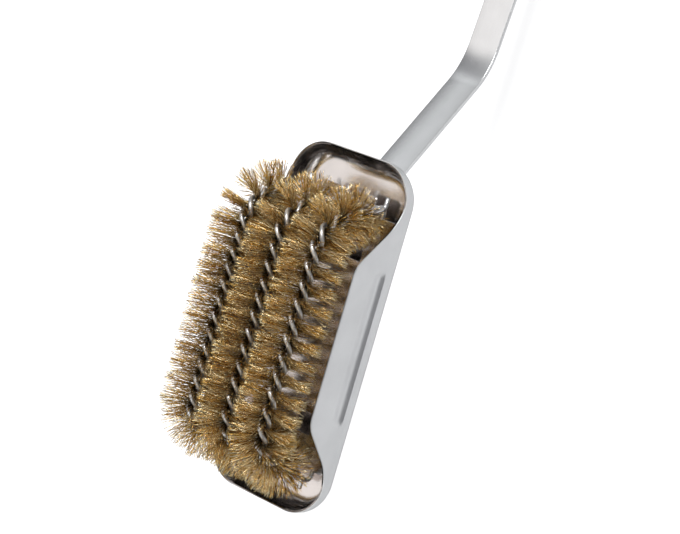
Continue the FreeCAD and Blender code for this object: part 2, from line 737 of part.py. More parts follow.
def make_eye():
    """The flat hanging eye on its shank."""
    body = new_body("hanging_eye")
    end = size("collar_length") + size("grip_length") + size("cap_length")
    outer = size("eye_bore_radius") + size("eye_rim")
    centre = end + outer
    shank = new_sketch(body, "YZ_Plane", "eye_shank", end - size("eye_shank_length"))
    radius = size("eye_shank_radius") - size("fit_clearance")
    add_circle(shank, 0, 0, radius, "Sizes.eye_shank_radius - Sizes.fit_clearance")
    pad(body, shank, "eye_shank_bar", "Sizes.eye_shank_length + Sizes.eye_rim / 2")
    disc = new_sketch(body, "XY_Plane", "eye_disc")
    add_circle(disc, centre, 0, outer, "Sizes.eye_bore_radius + Sizes.eye_rim")
    pad(body, disc, "eye_blank", "Sizes.eye_thickness", midplane=True)
    bore = new_sketch(body, "XY_Plane", "eye_bore", -size("eye_thickness"))
    add_circle(bore, centre, 0, size("eye_bore_radius"), "Sizes.eye_bore_radius")
    pocket(body, bore, "eye_bore_cut", "Sizes.eye_thickness * 2", reverse=True)
    body.Placement = grip_placement()
    return body


# ---------------------------------------------------------------- assembly
pieces = []
pieces += [make_tray(), make_strap(), make_rivets(), make_plate()]
for row_name in ROWS:
    make_row(row_name)
pieces += [make_collar(), make_tube(), make_cap(), make_eye()]
doc.recompute()

for item in doc.Objects:
    if "Invalid" in item.State or "Error" in item.State:
        raise RuntimeError(f"{item.Label} did not compute: {item.State}")
for piece in pieces:
    if piece.Shape.isNull() or not piece.Shape.isValid():
        raise RuntimeError(f"{piece.Label} has no valid shape")

os.makedirs("parts", exist_ok=True)
for piece in pieces:
    piece.Shape.exportStep(f"parts/{piece.Label}.step")
    box = piece.Shape.BoundBox
    print(f"{piece.Label:22} solids {len(piece.Shape.Solids)} volume {piece.Shape.Volume:10.1f} "
          f"x {box.XMin:7.1f} {box.XMax:7.1f} y {box.YMin:6.1f} {box.YMax:6.1f} z {box.ZMin:6.1f} {box.ZMax:6.1f}")
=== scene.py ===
import math

import bmesh
import bpy
import numpy as np
from mathutils import Matrix, Vector


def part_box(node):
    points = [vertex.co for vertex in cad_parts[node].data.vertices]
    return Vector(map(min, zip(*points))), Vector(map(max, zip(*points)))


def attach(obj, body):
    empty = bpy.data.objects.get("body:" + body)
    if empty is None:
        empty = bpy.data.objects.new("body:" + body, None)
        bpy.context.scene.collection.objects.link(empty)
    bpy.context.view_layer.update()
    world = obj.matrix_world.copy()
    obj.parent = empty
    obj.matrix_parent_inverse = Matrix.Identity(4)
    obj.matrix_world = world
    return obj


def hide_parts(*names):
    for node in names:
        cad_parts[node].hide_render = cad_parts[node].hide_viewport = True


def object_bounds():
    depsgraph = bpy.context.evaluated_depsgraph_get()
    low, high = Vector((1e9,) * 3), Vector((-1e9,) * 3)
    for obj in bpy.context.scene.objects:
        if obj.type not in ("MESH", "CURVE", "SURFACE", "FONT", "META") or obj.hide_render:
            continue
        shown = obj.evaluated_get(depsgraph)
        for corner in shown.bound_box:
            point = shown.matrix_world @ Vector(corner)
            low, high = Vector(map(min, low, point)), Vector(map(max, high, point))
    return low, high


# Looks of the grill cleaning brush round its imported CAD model. Lengths here are millimetres and
# are turned to metres where meshes are made; X runs to the grip, Z the way the bristles point.

MM = 0.001

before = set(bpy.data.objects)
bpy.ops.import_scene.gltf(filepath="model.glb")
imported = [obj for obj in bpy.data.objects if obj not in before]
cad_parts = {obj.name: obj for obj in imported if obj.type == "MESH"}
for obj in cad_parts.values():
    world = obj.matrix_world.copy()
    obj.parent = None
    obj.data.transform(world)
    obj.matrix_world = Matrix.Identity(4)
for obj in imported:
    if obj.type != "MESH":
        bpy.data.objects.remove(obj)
cad_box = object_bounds()


def node_box(node):
    low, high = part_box(node)
    return np.array(low) / MM, np.array(high) / MM


# ---------------------------------------------------------------- sizes
TRAY_LOW, TRAY_HIGH = node_box("tray")
_, PLATE_HIGH = node_box("insert_plate")
TRAY_LENGTH = TRAY_HIGH[0] - TRAY_LOW[0]
TRAY_WIDTH = TRAY_HIGH[1] - TRAY_LOW[1]
FLOOR_BACK = TRAY_LOW[2]
RIM_TOP = TRAY_HIGH[2]
TRAY_SHEET = 1.0
PLAN_RADIUS = 17.0
FLOOR_RADIUS = 8.2
END_RIM = FLOOR_BACK + 10.5
SHOULDER_HALF, SHOULDER_SLOPE = 29.5, math.radians(44.0)
SHOULDER_RADIUS, SWEEP_RADIUS = 11.0, 24.0
BEAD_HALF, BEAD_LEVEL, BEAD_WIDTH, BEAD_DEPTH = 33.5, FLOOR_BACK + 13.5, 3.0, 1.0
BEAD_RISE, BEAD_FALL, BEAD_SHARPNESS = 6.0, 0.9 * BEAD_WIDTH, 1.7
BEAD_DEEPEST = BEAD_LEVEL - 0.1 * BEAD_WIDTH
RIM_CROWN, RIM_DROP, RIM_BEVEL = 0.34, 0.14, 1.2
PLATE_TOP = PLATE_HIGH[2]
PLATE_UNDER = PLATE_TOP - 1.0
WALL_INNER = TRAY_WIDTH / 2 - TRAY_SHEET

STRAP_SHEET, STRAP_WIDTH = 2.5, 16.0
BAR_CROWN, BAR_EDGE = 0.35, 0.45
BAR_TAIL, BAR_FLAT_END = -44.0, 49.5
BAR_SLOPE, BAR_RUN_SLOPE = math.radians(36.8), math.radians(4.7)
BAR_SEAT_RADIUS, BAR_CRANK_RADIUS = 14.0, 37.0
BAR_FALL, BAR_RUN = 52.0, 88.0
GRIP_OVERLAP = 30.0
COLLAR, TUBE, CAP, TUBE_RADIUS = 14.0, 165.0, 9.0, 10.0
TURNED_SIDES = 72
ROW_Y = {"near": -21.5, "middle": 0.0, "far": 21.5}
ROW_RISE = {"near": 2.8, "middle": 1.5, "far": 0.0}
HALF_TURNS = {"near": 21, "middle": 22, "far": 22}
ROW_HEIGHT, ROW_HALF, FAR_SHIFT = 42.5, 37.0, 2.5
STEM_BEND, STEM_LEAN = 13.0, math.radians(72.0)
TAIL_LEVEL = FLOOR_BACK + 12.0
WIRE_RADIUS = 1.0
WIRE_TIP, WIRE_SHOULDER, WIRE_SHOULDER_DEPTH = 0.6, 0.9, 0.12
WIRE_BEND = 2.2
SPREAD_BRUSHED, SPREAD_BARE = 1.8, 1.03
BRISTLE_START = FLOOR_BACK + 22.0
BRISTLE_RADIUS = 15.0
BRISTLE_THICK = 0.122
BRISTLES_PER_MM = 16.5
BRISTLE_STEPS, BRISTLE_SIDES = 8, 3
BRISTLE_ROOT = 0.35
END_TRIM, END_TRIM_LENGTH = 0.16, 6.0

rng = np.random.default_rng(7)


# ---------------------------------------------------------------- mesh helpers
def make_object(name, verts, faces, materials, face_materials=None, smooth=True):
    mesh = bpy.data.meshes.new(name)
    mesh.from_pydata((np.asarray(verts, float) * MM).tolist(), [], faces)
    for material in materials:
        mesh.materials.append(material)
    if face_materials is not None:
        mesh.polygons.foreach_set("material_index", face_materials)
    mesh.polygons.foreach_set("use_smooth", [smooth] * len(mesh.polygons))
    mesh.validate()
    mesh.update()
    obj = bpy.data.objects.new(name, mesh)
    bpy.context.scene.collection.objects.link(obj)
    return obj


def grid_faces(rings, count, first=0):
    """Faces between closed rings of points."""
    faces = []
    for r in range(rings - 1):
        for i in range(count):
            j = (i + 1) % count
            a, b = first + r * count + i, first + r * count + j
            faces.append((a, b, b + count, a + count))
    return faces


# ---------------------------------------------------------------- materials
def new_material(name):
    material = bpy.data.materials.new(name)
    material.use_nodes = True
    tree = material.node_tree
    shader = tree.nodes["Principled BSDF"]
    return material, tree, shader


def add_node(tree, kind, **settings):
    node = tree.nodes.new(kind)
    for key, value in settings.items():
        if key in node.inputs:
            node.inputs[key].default_value = value
        else:
            setattr(node, key, value)
    return node


def noise_along(tree, stretch, scale, detail=3.0):
    """Noise on the object's own coordinates (metres), stretched by a vector."""
    where = add_node(tree, "ShaderNodeTexCoord")
    mapping = add_node(tree, "ShaderNodeMapping", Scale=stretch)
    noise = add_node(tree, "ShaderNodeTexNoise", Scale=scale, Detail=detail)
    tree.links.new(where.outputs["Object"], mapping.inputs["Vector"])
    tree.links.new(mapping.outputs["Vector"], noise.inputs["Vector"])
    return noise.outputs["Fac"]


def ramp(tree, source, stops):
    node = add_node(tree, "ShaderNodeValToRGB")
    elements = node.color_ramp.elements
    while len(elements) < len(stops):
        elements.new(0.5)
    for element, (place, colour) in zip(elements, stops):
        element.position = place
        element.color = (*colour, 1.0)
    tree.links.new(source, node.inputs["Fac"])
    return node.outputs["Color"]


def spread(tree, source, low, high):
    node = add_node(tree, "ShaderNodeMapRange")
    node.inputs["To Min"].default_value = low
    node.inputs["To Max"].default_value = high
    tree.links.new(source, node.inputs["Value"])
    return node.outputs["Result"]


def bump(tree, shader, source, strength, distance):
    node = add_node(tree, "ShaderNodeBump", Strength=strength, Distance=distance)
    tree.links.new(source, node.inputs["Height"])
    tree.links.new(node.outputs["Normal"], shader.inputs["Normal"])


def steel(name, dark, light, rough, stretch, scale, grain, depth, metallic=1.0):
    material, tree, shader = new_material(name)
    shader.inputs["Metallic"].default_value = metallic
    fine = noise_along(tree, stretch, scale)
    broad = noise_along(tree, (1, 1, 1), 60.0)
    tree.links.new(ramp(tree, broad, [(0.3, dark), (0.7, light)]), shader.inputs["Base Color"])
    tree.links.new(spread(tree, fine, *rough), shader.inputs["Roughness"])
    bump(tree, shader, fine, grain, depth)
    return material


brushed = steel("tray_brushed_steel", (0.67, 0.68, 0.69), (0.74, 0.75, 0.76), (0.30, 0.42),
                (0.03, 6.0, 6.0), 400.0, 0.06, 0.0002)
polished = steel("tray_polished_steel", (0.64, 0.61, 0.595), (0.72, 0.685, 0.665), (0.13, 0.19),
                 (1, 1, 1), 60.0, 0.02, 0.0006)
bar_steel = steel("bar_brushed_steel", (0.71, 0.72, 0.73), (0.78, 0.79, 0.80), (0.20, 0.30),
                  (0.03, 6.0, 6.0), 420.0, 0.05, 0.0002)
plate_steel = steel("plate_bright_steel", (0.74, 0.70, 0.68), (0.82, 0.78, 0.76), (0.10, 0.18),
                    (1, 1, 1), 90.0, 0.08, 0.0005)
grip_steel = steel("grip_satin_steel", (0.64, 0.66, 0.67), (0.72, 0.74, 0.75), (0.26, 0.40),
                   (0.03, 6.0, 6.0), 380.0, 0.06, 0.0002)
wire_steel = steel("galvanised_wire", (0.56, 0.57, 0.58), (0.76, 0.77, 0.78), (0.22, 0.36),
                   (1, 1, 1), 900.0, 0.25, 0.0003, metallic=0.85)


def brass(name, dark, light):
    """Brass wire, darkened with painted shade where it comes out of the twist."""
    material, tree, shader = new_material(name)
    shader.inputs["Metallic"].default_value = 0.85
    shader.inputs["Specular IOR Level"].default_value = 0.2
    shader.inputs["Specular Tint"].default_value = (0.62, 0.46, 0.27, 1)
    patches = noise_along(tree, (1, 1, 1), 700.0, 2.0)
    clean = ramp(tree, patches, [(0.3, dark), (0.7, light)])
    depth = add_node(tree, "ShaderNodeAttribute", attribute_name="out")
    # Painted shade: the colour runs to near black towards each wire's root, where the twist and the other
    # bristles shade it.
    painted_root_shade = ramp(tree, depth.outputs["Fac"], [(0.0, (0.05, 0.035, 0.025)), (0.52, (1.0, 1.0, 1.0))])
    mix = add_node(tree, "ShaderNodeMix", data_type="RGBA", blend_type="MULTIPLY")
    mix.inputs[0].default_value = 1.0
    tree.links.new(clean, mix.inputs[6])
    tree.links.new(painted_root_shade, mix.inputs[7])
    tree.links.new(mix.outputs[2], shader.inputs["Base Color"])
    tree.links.new(spread(tree, patches, 0.15, 0.30), shader.inputs["Roughness"])
    return material


brasses = [
    brass("brass_brown", (0.18, 0.085, 0.022), (0.44, 0.235, 0.060)),
    brass("brass_mid", (0.76, 0.47, 0.135), (0.95, 0.65, 0.24)),
    brass("brass_pale", (0.98, 0.79, 0.42), (1.0, 0.90, 0.62)),
]
BRASS_SHARES = (0.21, 0.33, 0.46)


# ---------------------------------------------------------------- tray
def rim_level(x):
    """Height of the swept rim over a place along the tray."""
    past = abs(x) - SHOULDER_HALF
    if past <= 0:
        return RIM_TOP
    upper, lower, slope = SHOULDER_RADIUS, SWEEP_RADIUS, SHOULDER_SLOPE
    first = upper * math.sin(slope)
    arcs_drop = (upper + lower) * (1 - math.cos(slope))
    straight = (RIM_TOP - END_RIM - arcs_drop) / math.tan(slope)
    last = lower * math.sin(slope)
    if past <= first:
        return RIM_TOP - upper + math.sqrt(upper ** 2 - past ** 2)
    if past <= first + straight:
        return RIM_TOP - upper * (1 - math.cos(slope)) - (past - first) * math.tan(slope)
    left = first + straight + last - past
    if left <= 0:
        return END_RIM
    return END_RIM + lower - math.sqrt(lower ** 2 - left ** 2)


def plan_outline(setback):
    """Points and outward headings round the tray at a setback from its outside."""
    a, b = TRAY_LENGTH / 2, TRAY_WIDTH / 2
    flat_x, flat_y = a - PLAN_RADIUS, b - PLAN_RADIUS
    radius = PLAN_RADIUS - setback
    points = []
    long_side = np.linspace(-flat_x, flat_x, 97)
    short_side = np.linspace(-flat_y, flat_y, 13)
    corner = np.radians(np.linspace(0, 90, 17))
    points += [(x, -b + setback, 0.0, -1.0) for x in long_side]
    points += [(flat_x + radius * math.sin(t), -flat_y - radius * math.cos(t), math.sin(t), -math.cos(t))
               for t in corner[1:-1]]
    points += [(a - setback, y, 1.0, 0.0) for y in short_side]
    points += [(flat_x + radius * math.cos(t), flat_y + radius * math.sin(t), math.cos(t), math.sin(t))
               for t in corner[1:-1]]
    points += [(x, b - setback, 0.0, 1.0) for x in long_side[::-1]]
    points += [(-flat_x - radius * math.sin(t), flat_y + radius * math.cos(t), -math.sin(t), math.cos(t))
               for t in corner[1:-1]]
    points += [(-a + setback, y, -1.0, 0.0) for y in short_side[::-1]]
    points += [(-flat_x - radius * math.cos(t), -flat_y - radius * math.sin(t), -math.cos(t), -math.sin(t))
               for t in corner[1:-1]]
    return points


def bead_depth_at(x, z):
    """Inward reach of the pressed bead: a long soft upper side and a short lower one."""
    past = max(abs(x) - (BEAD_HALF - BEAD_WIDTH), 0.0) / BEAD_WIDTH
    off = z - BEAD_DEEPEST
    if off > 0:
        away = min(math.hypot(off / BEAD_RISE, past), 1.0)
        return BEAD_DEPTH * math.cos(math.pi / 2 * away) ** 2
    away = min(math.hypot(off / BEAD_FALL, past), 1.0)
    return BEAD_DEPTH * (1 - away ** BEAD_SHARPNESS)


def tray_side(inset):
    """Rings of points from the floor's middle to the rim, on one face of the sheet."""
    radius = FLOOR_RADIUS - inset
    rings = []
    for extra in (6.0, 2.0, 0.6):
        rings.append([(x, y, FLOOR_BACK + inset) for x, y, _, _ in plan_outline(inset + radius + extra)])
    for i in range(11):
        angle = math.radians(9 * i)
        setback = inset + radius * (1 - math.sin(angle))
        height = FLOOR_BACK + inset + radius * (1 - math.cos(angle))
        rings.append([(x, y, height) for x, y, _, _ in plan_outline(setback)])
    start = FLOOR_BACK + inset + radius
    levels = np.concatenate([np.linspace(start, BEAD_LEVEL - BEAD_WIDTH - 0.2, 5)[1:],
                             np.linspace(BEAD_LEVEL - BEAD_WIDTH, BEAD_LEVEL + BEAD_RISE, 31),
                             np.linspace(BEAD_LEVEL + BEAD_RISE + 0.3, RIM_TOP, 9)])
    for level_now in levels:
        share = (level_now - start) / (RIM_TOP - start)
        ring = []
        for x, y, _, ny in plan_outline(inset):
            height = start + (rim_level(x) - start) * share
            press = bead_depth_at(x, height) if abs(ny) == 1.0 else 0.0
            ring.append((x, y - math.copysign(press, y), height))
        rings.append(ring)
    return rings


def build_tray():
    outer, inner = tray_side(0.0), tray_side(TRAY_SHEET)
    count = len(outer[0])
    crown = [tuple(np.array(p) * (1 - RIM_CROWN) + np.array(q) * RIM_CROWN)
             for p, q in zip(outer[-1], inner[-1])]
    outer[-1] = [(x, y, z - RIM_DROP) for x, y, z in outer[-1]]
    inner[-1] = [(x, y, z - RIM_BEVEL) for x, y, z in inner[-1]]
    rings = outer + [crown] + inner[::-1]
    verts = [point for ring in rings for point in ring]
    faces = grid_faces(len(rings), count)
    split = len(outer) * count
    marks = [0 if f[0] < split else 1 for f in faces]
    faces.append(tuple(range(count))[::-1])
    marks.append(0)
    last = (len(rings) - 1) * count
    faces.append(tuple(range(last, last + count)))
    marks.append(1)
    tray = make_object("tray_shell", verts, faces, [brushed, polished], marks)
    weigh(tray)
    return tray


def weigh(obj):
    """Shade flats as flat, by face area."""
    modifier = obj.modifiers.new("weighted", "WEIGHTED_NORMAL")
    modifier.keep_sharp = True
    modifier.weight = 100


tray = build_tray()
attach(tray, "head")
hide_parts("tray")


# ---------------------------------------------------------------- bar
def bar_stations():
    """Middle of the bar's thickness and its slope, from the tail to the end in the grip."""
    half = STRAP_SHEET / 2
    points = [(x, half, 0.0) for x in np.linspace(BAR_TAIL, BAR_FLAT_END, 24)]
    x, z = BAR_FLAT_END, half
    for i in range(1, 17):
        angle = BAR_SLOPE * i / 16
        points.append((x + BAR_SEAT_RADIUS * math.sin(angle),
                       z - BAR_SEAT_RADIUS * (1 - math.cos(angle)), angle))
    x, z, _ = points[-1]
    crank_drop = BAR_CRANK_RADIUS * (math.cos(BAR_RUN_SLOPE) - math.cos(BAR_SLOPE))
    straight = BAR_FALL - crank_drop - BAR_SEAT_RADIUS * (1 - math.cos(BAR_SLOPE))
    for i in range(1, 13):
        points.append((x + straight / math.tan(BAR_SLOPE) * i / 12, z - straight * i / 12, BAR_SLOPE))
    x, z, _ = points[-1]
    cx = x + BAR_CRANK_RADIUS * math.sin(BAR_SLOPE)
    cz = z + BAR_CRANK_RADIUS * math.cos(BAR_SLOPE)
    for i in range(1, 25):
        angle = BAR_SLOPE + (BAR_RUN_SLOPE - BAR_SLOPE) * i / 24
        points.append((cx - BAR_CRANK_RADIUS * math.sin(angle),
                       cz - BAR_CRANK_RADIUS * math.cos(angle), angle))
    x, z, _ = points[-1]
    for i in range(1, 13):
        points.append((x + BAR_RUN * math.cos(BAR_RUN_SLOPE) * i / 12,
                       z - BAR_RUN * math.sin(BAR_RUN_SLOPE) * i / 12, BAR_RUN_SLOPE))
    return points


def bar_section(width, sheet, edge):
    """A flat bar's section with crowned faces and rounded edges, as (across, out)."""
    a, b = width / 2 - edge, sheet / 2 - edge
    points = []
    for cx, cy, start in ((a, b - BAR_CROWN, 0), (-a, b - BAR_CROWN, 90),
                          (-a, BAR_CROWN - b, 180), (a, BAR_CROWN - b, 270)):
        for i in range(5):
            angle = math.radians(start + 90 * i / 4)
            points.append((cx + edge * math.cos(angle), cy + edge * math.sin(angle)))
        if start in (0, 180):
            face = math.copysign(b + edge, cy)
            for share in np.linspace(1, -1, 11)[1:-1]:
                points.append((cx * share, face - math.copysign(BAR_CROWN * share ** 2, cy)))
    return points


def build_bar():
    stations = bar_stations()
    verts = []
    tail_radius = STRAP_WIDTH * 0.3
    front = [(BAR_TAIL + tail_radius * (1 - math.cos(math.radians(t))), STRAP_SHEET / 2, 0.0)
             for t in np.linspace(0, 90, 9)]
    stations = front + [s for s in stations if s[0] > front[-1][0] + 0.1]
    for x, z, angle in stations:
        width = STRAP_WIDTH
        into = x - BAR_TAIL
        if into < tail_radius:
            width -= 2 * (tail_radius - math.sqrt(max(tail_radius ** 2 - (tail_radius - into) ** 2, 0)))
        up = (math.sin(angle), math.cos(angle))
        for across, out in bar_section(width, STRAP_SHEET, BAR_EDGE):
            verts.append((x + up[0] * out, across, z + up[1] * out))
    count = len(bar_section(STRAP_WIDTH, STRAP_SHEET, BAR_EDGE))
    faces = grid_faces(len(stations), count)
    faces.append(tuple(range(count))[::-1])
    last = (len(stations) - 1) * count
    faces.append(tuple(range(last, last + count)))
    bar = make_object("bar", verts, faces, [bar_steel])
    weigh(bar)
    return bar


bar = build_bar()
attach(bar, "head")
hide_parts("strap")


# ---------------------------------------------------------------- sheet and turned pieces
def softened(node, name, material, width, body):
    """The CAD solid's own faces with fine broken edges."""
    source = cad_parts[node]
    mesh = source.data.copy()
    mesh.name = name
    mesh.materials.clear()
    mesh.materials.append(material)
    obj = bpy.data.objects.new(name, mesh)
    bpy.context.scene.collection.objects.link(obj)
    shape = bmesh.new()
    shape.from_mesh(mesh)
    bmesh.ops.remove_doubles(shape, verts=shape.verts, dist=1e-6)
    bmesh.ops.dissolve_limit(shape, angle_limit=math.radians(1.0), verts=shape.verts, edges=shape.edges)
    for face in shape.faces:
        face.smooth = True
        face.material_index = 0
    shape.to_mesh(mesh)
    shape.free()
    bevel = obj.modifiers.new("edges", "BEVEL")
    bevel.width = width * MM
    bevel.segments = 2
    bevel.limit_method = "ANGLE"
    bevel.angle_limit = math.radians(40)
    weigh(obj)
    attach(obj, body)
    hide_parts(node)
    return obj


softened("insert_plate", "insert_sheet", plate_steel, 0.18, "insert")
softened("head_rivets", "rivets", bar_steel, 0.5, "head")


def lathe(name, profile, sides, material, replaced):
    """A turned piece: profile (along, radius) about the grip's axis."""
    verts = []
    for along, radius in profile:
        for k in range(sides):
            angle = 2 * math.pi * k / sides
            verts.append((along, radius * math.cos(angle), radius * math.sin(angle)))
    faces = grid_faces(len(profile), sides)
    faces.append(tuple(range(sides))[::-1])
    last = (len(profile) - 1) * sides
    faces.append(tuple(range(last, last + sides)))
    obj = make_object(name, verts, faces, [material])
    obj.matrix_world = GRIP
    weigh(obj)
    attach(obj, "head")
    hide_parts(replaced)
    return obj


BAR_END = bar_stations()[-1]
GRIP_TILT = BAR_END[2]
GRIP = (Matrix.Translation(Vector((BAR_END[0] - GRIP_OVERLAP * math.cos(GRIP_TILT), 0,
                                   BAR_END[1] + GRIP_OVERLAP * math.sin(GRIP_TILT))) * MM)
        @ Matrix.Rotation(GRIP_TILT, 4, "Y"))


def corner(along, radius, size, start, end, steps=5):
    """A rounded corner of a turned profile about (along, radius)."""
    return [(along + size * math.cos(math.radians(start + (end - start) * i / steps)),
             radius + size * math.sin(math.radians(start + (end - start) * i / steps)))
            for i in range(steps + 1)]


lathe("collar", [(0.0, 8.4)] + corner(1.6, TUBE_RADIUS - 1.6, 1.6, 180, 90)
      + [(COLLAR - 0.8, TUBE_RADIUS), (COLLAR - 0.4, TUBE_RADIUS - 0.35), (COLLAR, TUBE_RADIUS - 0.5)],
      TURNED_SIDES, grip_steel, "grip_collar")
lathe("tube", [(COLLAR, TUBE_RADIUS - 0.5)] + corner(COLLAR + 0.3, TUBE_RADIUS - 0.3, 0.3, 150, 90, 3)
      + [(COLLAR + TUBE * i / 12, TUBE_RADIUS) for i in range(1, 12)]
      + corner(COLLAR + TUBE - 0.3, TUBE_RADIUS - 0.3, 0.3, 90, 30, 3) + [(COLLAR + TUBE, TUBE_RADIUS - 0.5)],
      TURNED_SIDES, grip_steel, "grip_tube")
lathe("cap", [(COLLAR + TUBE, TUBE_RADIUS - 0.5), (COLLAR + TUBE + 0.4, TUBE_RADIUS)]
      + corner(COLLAR + TUBE + CAP - 3.0, TUBE_RADIUS - 3.0, 3.0, 90, 0, 8)
      + [(COLLAR + TUBE + CAP, 4.0)],
      TURNED_SIDES, grip_steel, "grip_cap")


def build_eye():
    """A round-edged ring on a short shank."""
    end = COLLAR + TUBE + CAP
    middle, ring = end + 11.0, 9.0
    section = []
    for cx, cz, start in ((1.0, 1.0, 0), (-1.0, 1.0, 90), (-1.0, -1.0, 180), (1.0, -1.0, 270)):
        for i in range(5):
            angle = math.radians(start + 90 * i / 4)
            section.append((cx + math.cos(angle), cz + math.sin(angle)))
    verts, sides = [], 96
    for k in range(sides):
        angle = 2 * math.pi * k / sides
        for out, up in section:
            verts.append((middle + (ring + out) * math.cos(angle), (ring + out) * math.sin(angle), up))
    count = len(section)
    faces = []
    for k in range(sides):
        for i in range(count):
            a, b = k * count + i, k * count + (i + 1) % count
            c, d = ((k + 1) % sides) * count + i, ((k + 1) % sides) * count + (i + 1) % count
            faces.append((a, c, d, b))
    first = len(verts)
    shank = [(end - 4.0, 2.9), (end, 2.9), (end + 0.6, 2.5), (end + 2.4, 2.2)]
    for along, radius in shank:
        for k in range(32):
            angle = 2 * math.pi * k / 32
            verts.append((along, radius * math.cos(angle), radius * math.sin(angle) * 0.85))
    faces += grid_faces(len(shank), 32, first=first)
    faces.append(tuple(range(first, first + 32))[::-1])
    last = first + (len(shank) - 1) * 32
    faces.append(tuple(range(last, last + 32)))
    obj = make_object("eye", verts, faces, [grip_steel])
    obj.matrix_world = GRIP
    weigh(obj)
    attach(obj, "head")
    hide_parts("hanging_eye")


build_eye()


# ---------------------------------------------------------------- stems and twisted wires
class Stem:
    """The line that a row's wires twist about: a straight back, two bends and two legs."""

    def __init__(self, row):
        self.y = ROW_Y[row]
        self.top = FLOOR_BACK + ROW_HEIGHT + ROW_RISE[row]
        self.near, self.far = ROW_HALF, -ROW_HALF - FAR_SHIFT
        self.leg = (self.top - STEM_BEND * (1 - math.cos(STEM_LEAN)) - TAIL_LEVEL) / math.sin(STEM_LEAN)
        self.arc = STEM_BEND * STEM_LEAN
        self.back = self.near - self.far
        self.length = 2 * (self.leg + self.arc) + self.back
        self.pitch = 2 * self.length / HALF_TURNS[row]
        self.bare = (BRISTLE_START - TAIL_LEVEL) / math.sin(STEM_LEAN)

    def at(self, run):
        middle = self.length / 2
        side = 1 if run > middle else -1
        past = abs(run - middle) - self.back / 2
        end = self.near if side > 0 else self.far
        if past <= 0:
            return np.array(((self.near + self.far) / 2 + run - middle, self.y, self.top)), 0.0
        turned = min(past / STEM_BEND, STEM_LEAN)
        straight = max(past - self.arc, 0)
        x = STEM_BEND * math.sin(turned) + math.cos(turned) * straight
        z = -STEM_BEND * (1 - math.cos(turned)) - math.sin(turned) * straight
        return np.array((end + side * x, self.y, self.top + z)), -side * turned

    def turn(self, run):
        return math.pi / 2 + 2 * math.pi * (run - self.length) / self.pitch

    def spread(self, run):
        """Distance of each wire's middle from the stem: wider where bristles lie between them."""
        inside = min(run - self.bare, self.length - self.bare - run)
        share = min(max(inside / 4.0 + 0.5, 0.0), 1.0)
        return SPREAD_BARE + (SPREAD_BRUSHED - SPREAD_BARE) * share * share * (3 - 2 * share)


def up_at(heading):
    return np.array((-math.sin(heading), 0.0, math.cos(heading)))


ACROSS = np.array((0.0, 1.0, 0.0))


def wire_ends(stem, kind):
    place, heading = stem.at(stem.length)
    bend, steps = WIRE_BEND, 10
    if kind == "tail":
        turn, straight, lead = -heading, 3.0, 0.0
    else:
        turn, straight = -(math.pi + heading), 6.0
        level_now = place[2] - bend * (1 + math.cos(heading))
        lead = (level_now - (PLATE_UNDER - 0.1 - WIRE_RADIUS)) / math.sin(-heading)
    direction = np.array((math.cos(heading), 0, math.sin(heading)))
    place = place + direction * lead
    result = [(place, heading)] if lead > 0.05 else []
    sign = 1 if turn > 0 else -1
    centre = place + up_at(heading) * bend * sign
    for i in range(1, steps + 1):
        angle = heading + turn * i / steps
        result.append((centre - up_at(angle) * bend * sign, angle))
    final = heading + turn
    result.append((result[-1][0] + np.array((math.cos(final), 0, math.sin(final))) * straight, final))
    return result


def tube_mesh(path, radius, sides=14):
    """A round wire through the path's points, with rounded ends."""
    path = np.array(path)
    tangents = np.gradient(path, axis=0)
    tangents /= np.linalg.norm(tangents, axis=1)[:, None]
    normal = np.cross(tangents[0], (0.3, 0.9, 0.1))
    normal /= np.linalg.norm(normal)
    frames = []
    for tangent in tangents:
        normal = normal - tangent * normal.dot(tangent)
        normal /= np.linalg.norm(normal)
        frames.append((normal, np.cross(tangent, normal)))

    def ring(centre, frame_now, size):
        u, v = frame_now
        angles = 2 * np.pi * np.arange(sides) / sides
        return centre + size * (np.cos(angles)[:, None] * u + np.sin(angles)[:, None] * v)

    depth = WIRE_SHOULDER_DEPTH * radius
    rings = [ring(path[0], frames[0], radius * WIRE_TIP),
             ring(path[0] + tangents[0] * depth, frames[0], radius * WIRE_SHOULDER)]
    for i in range(1, len(path) - 1):
        rings.append(ring(path[i], frames[i], radius))
    rings.append(ring(path[-1] - tangents[-1] * depth, frames[-1], radius * WIRE_SHOULDER))
    rings.append(ring(path[-1], frames[-1], radius * WIRE_TIP))
    verts = np.concatenate(rings)
    faces = grid_faces(len(rings), sides)
    faces.append(tuple(range(sides))[::-1])
    last = (len(rings) - 1) * sides
    faces.append(tuple(range(last, last + sides)))
    return verts, faces


def build_wire(row, kind):
    stem = Stem(row)
    opposite = math.pi if kind == "tail" else 0.0
    path = []

    def beside(place, heading, turn, spread_now):
        out = up_at(heading) * math.cos(turn) + ACROSS * math.sin(turn)
        return place + out * spread_now

    ends = wire_ends(stem, kind)
    middle = (stem.near + stem.far) / 2
    for place, heading in reversed(ends):
        mirrored = np.array((2 * middle - place[0], place[1], place[2]))
        path.append(beside(mirrored, -heading, stem.turn(0) + opposite, stem.spread(0)))
    count = HALF_TURNS[row] * 12
    for i in range(count + 1):
        run = stem.length * i / count
        path.append(beside(*stem.at(run), stem.turn(run) + opposite, stem.spread(run)))
    for place, heading in ends:
        path.append(beside(place, heading, stem.turn(stem.length) + opposite, stem.spread(stem.length)))
    verts, faces = tube_mesh(path, WIRE_RADIUS)
    obj = make_object(f"{row}_{kind}_strand", verts, faces, [wire_steel])
    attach(obj, "insert")
    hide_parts(f"row_{row}_{kind}_wire")
    return obj


